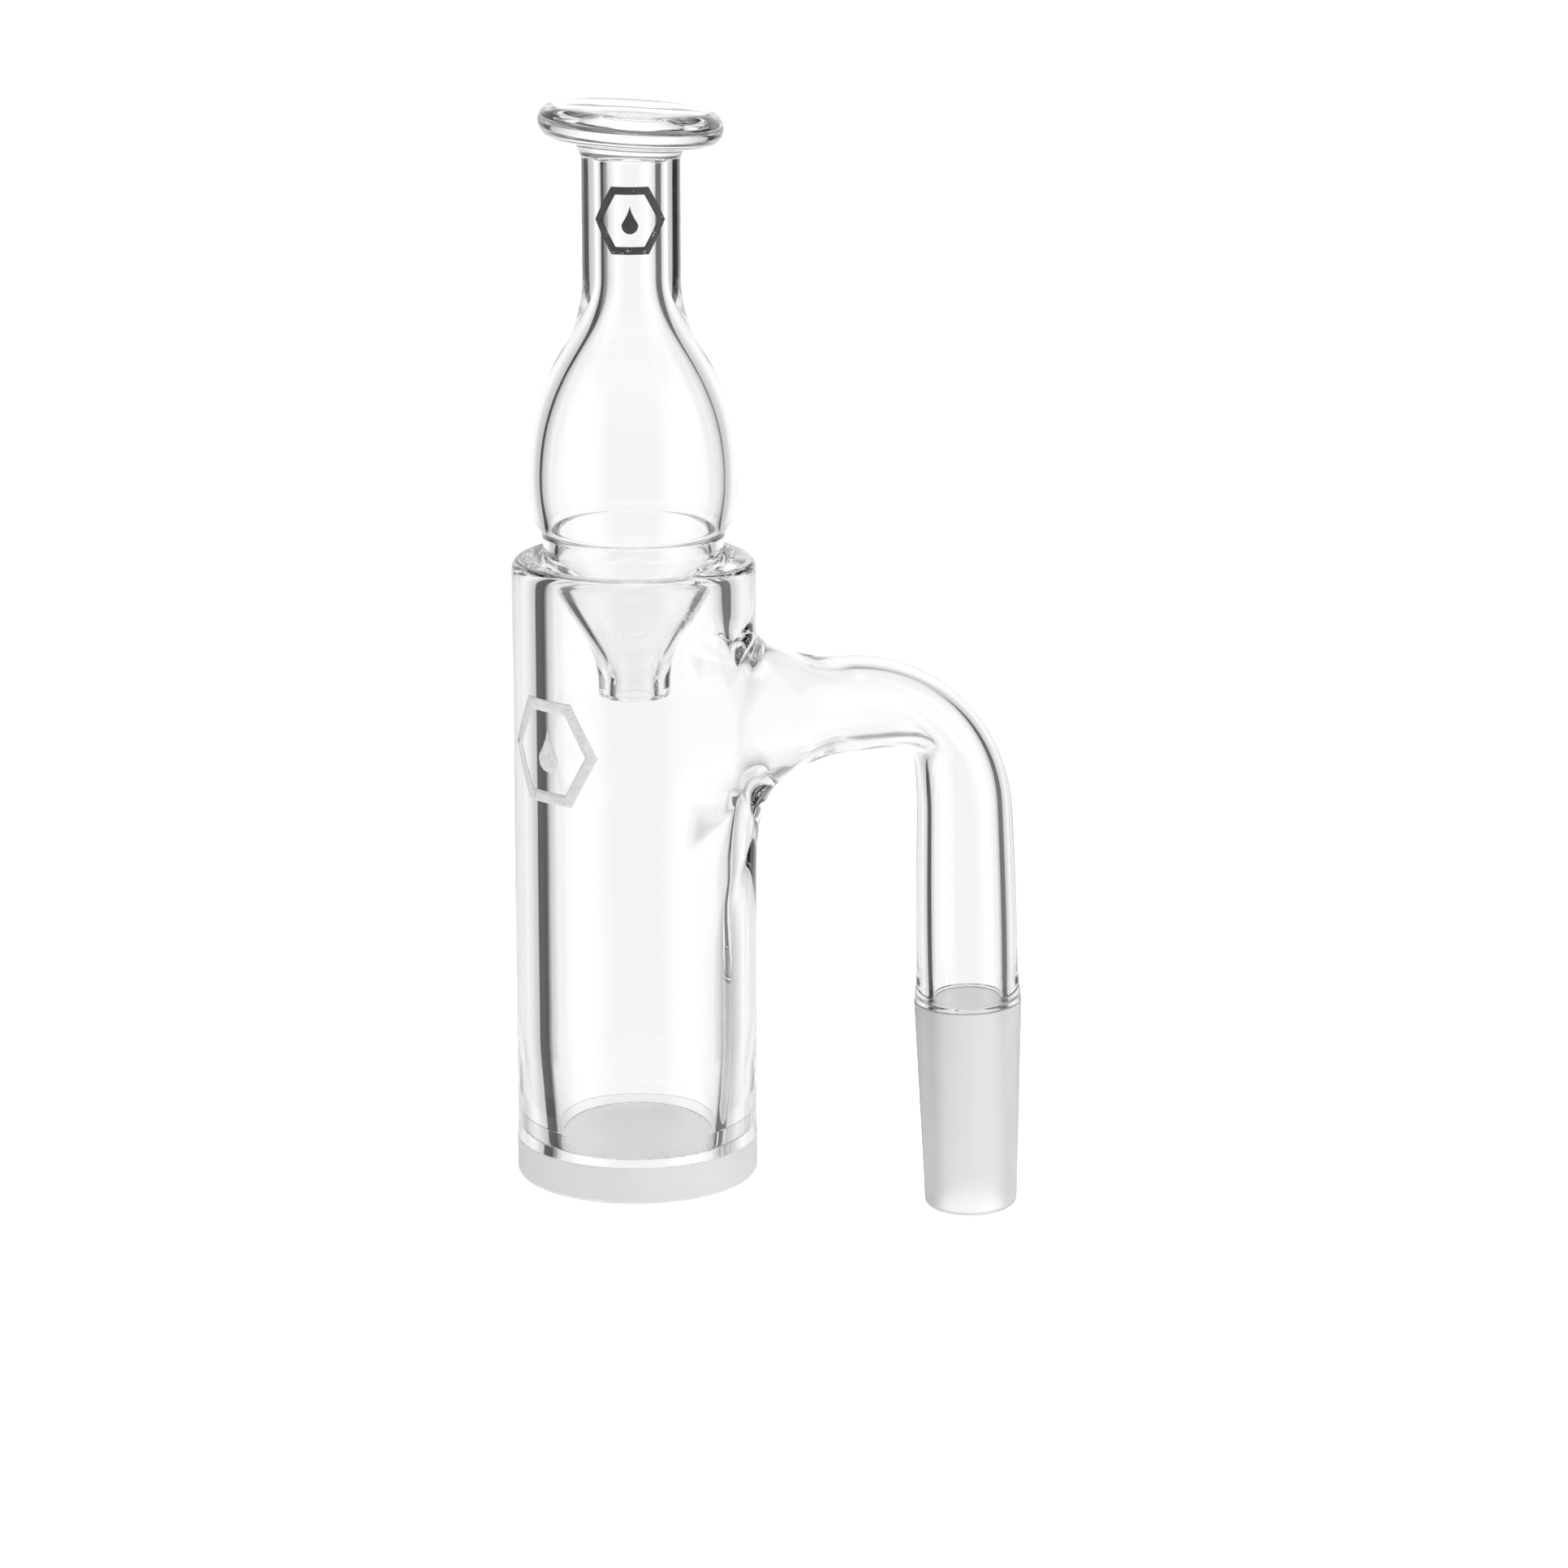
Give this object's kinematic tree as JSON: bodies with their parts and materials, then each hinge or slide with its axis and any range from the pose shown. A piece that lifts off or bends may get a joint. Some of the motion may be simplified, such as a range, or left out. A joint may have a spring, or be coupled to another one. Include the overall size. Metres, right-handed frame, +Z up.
{
  "type": "quartz bucket with bubble cap",
  "caption": "Thick-walled clear quartz bucket with frosted base, bent side arm and ground male joint, and a blown bubble cap with a funnel nozzle that lifts out of its rim.",
  "frame": {"origin": "on the bucket's axis, at the underside of its base disc", "axes": "+Z up along the bucket's axis, +X along the side arm towards the ground joint"},
  "size_m": [0.0489, 0.0218, 0.1052],
  "materials": {
    "clear_quartz": "clear flame-polished quartz",
    "frosted_quartz": "ground, frosted quartz",
    "fired_print": "fired dark grey enamel print"
  },
  "bodies": {
    "bucket": {"bucket_tube": "clear_quartz", "base_disc": "frosted_quartz", "side_arm": "clear_quartz", "ground_joint": "frosted_quartz"},
    "cap": {"cap_collar": "clear_quartz", "cap_bulb": "clear_quartz", "cap_neck": "clear_quartz", "cap_nozzle": "clear_quartz", "cap_disc": "clear_quartz"}
  },
  "joints": [
    {"name": "cap_lift", "type": "slide", "parent": "bucket", "child": "cap", "axis": [0, 0, 1], "range_m": [0, 0.025]}
  ]
}
